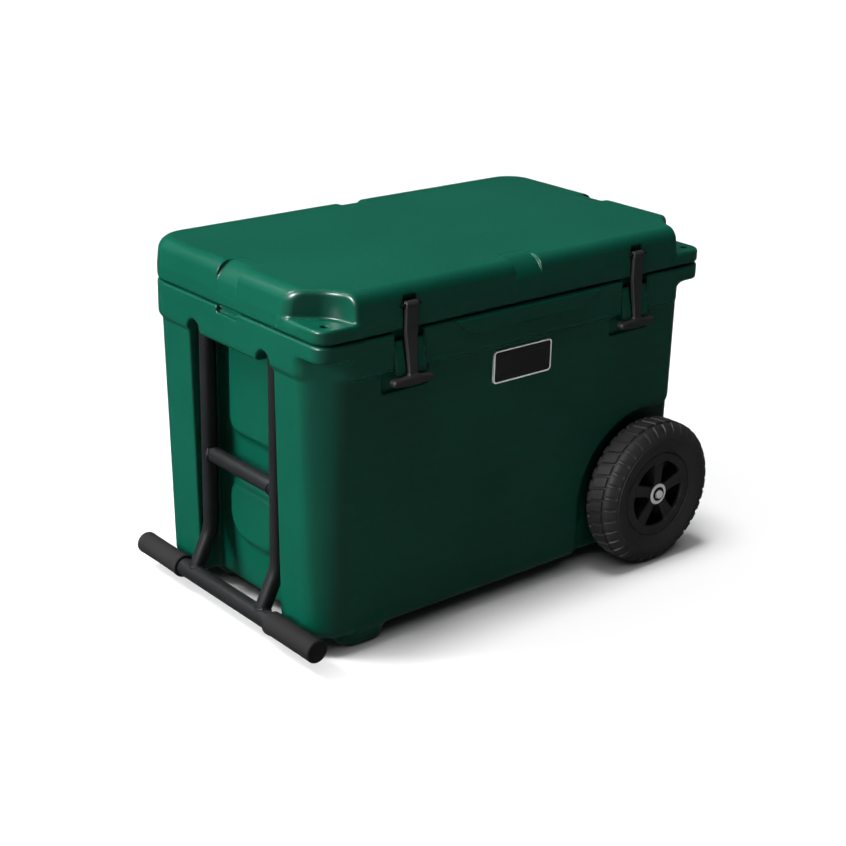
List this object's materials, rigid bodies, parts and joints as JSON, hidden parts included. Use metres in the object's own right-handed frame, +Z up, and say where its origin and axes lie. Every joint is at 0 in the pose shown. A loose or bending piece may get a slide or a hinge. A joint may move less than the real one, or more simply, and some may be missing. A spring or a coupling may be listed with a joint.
{
  "type": "wheeled cooler",
  "caption": "Rotomoulded hard cooler with a hinged lid, rubber T-latches, a swinging tow handle, solid wheels on a through axle and a screw-in drain plug.",
  "frame": {"origin": "on the floor, under the middle of the bounding box", "axes": "+X towards the wheel end, -Y towards the latches, +Z up"},
  "size_m": [0.724, 0.473, 0.495],
  "materials": {
    "green_shell": "satin",
    "foam": "matte",
    "black_plastic": "satin",
    "black_rubber": "matte",
    "tyre_rubber": "matte",
    "grip_rubber": "matte",
    "black_paint": "satin",
    "steel": "satin"
  },
  "bodies": {
    "cooler_body": {"body_shell": "green_shell", "body_foam": "foam", "body_fill_plug": "black_plastic", "badge_plate": "black_plastic", "foot_pad_front": "black_rubber", "foot_pad_back": "black_rubber", "drain_fitting": "black_plastic", "axle": "steel", "axle_sleeve_front": "black_plastic", "axle_sleeve_back": "black_plastic", "spacer_washer_front": "steel", "spacer_washer_back": "steel", "push_nut_front": "steel", "push_nut_back": "steel", "hinge_pin_left": "steel", "hinge_pin_right": "steel", "pivot_pin_front": "steel", "pivot_pin_back": "steel"},
    "lid": {"lid_shell": "green_shell", "lid_foam": "foam", "lid_fill_plug": "black_plastic", "lid_gasket": "black_rubber", "latch_pin_left": "steel", "latch_pin_right": "steel"},
    "latch_left": {"latch_strap_left": "black_rubber"},
    "latch_right": {"latch_strap_right": "black_rubber"},
    "tow_handle": {"handle_arm_front": "black_paint", "handle_arm_back": "black_paint", "handle_mid_bar": "black_paint", "handle_crossbar": "black_paint", "handle_grip_front": "grip_rubber", "handle_grip_back": "grip_rubber", "pivot_bushing_front": "black_plastic", "pivot_bushing_back": "black_plastic"},
    "wheel_front": {"tyre_front": "tyre_rubber", "wheel_centre_front": "black_plastic", "wheel_bushing_front": "black_plastic"},
    "wheel_back": {"tyre_back": "tyre_rubber", "wheel_centre_back": "black_plastic", "wheel_bushing_back": "black_plastic"},
    "drain_seal": {"drain_gasket": "black_rubber"},
    "drain_screw": {"drain_plug": "black_plastic"}
  },
  "joints": [
    {"name": "lid_hinge", "type": "hinge", "parent": "cooler_body", "child": "lid", "pos_m": [0.002, 0.207, 0.439], "axis": [-1, 0, 0], "range_deg": [0, 100]},
    {"name": "latch_left_swing", "type": "hinge", "parent": "lid", "child": "latch_left", "pos_m": [-0.1995, -0.202, 0.47], "axis": [-1, 0, 0], "range_deg": [0, 110]},
    {"name": "latch_right_swing", "type": "hinge", "parent": "lid", "child": "latch_right", "pos_m": [0.2035, -0.202, 0.47], "axis": [-1, 0, 0], "range_deg": [0, 110]},
    {"name": "handle_swing", "type": "hinge", "parent": "cooler_body", "child": "tow_handle", "pos_m": [-0.316, 0, 0.389], "axis": [0, 1, 0], "range_deg": [0, 95]},
    {"name": "wheel_front_spin", "type": "hinge", "parent": "cooler_body", "child": "wheel_front", "pos_m": [0.254, -0.2, 0.108], "axis": [0, 1, 0], "continuous": true},
    {"name": "wheel_back_spin", "type": "hinge", "parent": "cooler_body", "child": "wheel_back", "pos_m": [0.254, 0.2, 0.108], "axis": [0, 1, 0], "continuous": true},
    {"name": "drain_travel", "type": "slide", "parent": "cooler_body", "child": "drain_seal", "axis": [1, 0, 0], "range_m": [0, 0.012]},
    {"name": "drain_turn", "type": "hinge", "parent": "drain_seal", "child": "drain_screw", "pos_m": [0.316, 0, 0.086], "axis": [1, 0, 0], "range_deg": [0, 1440]}
  ],
  "couplings": [
    {"joint": "drain_travel", "follows": "drain_turn", "m_per_rad": 0.00047742}
  ]
}
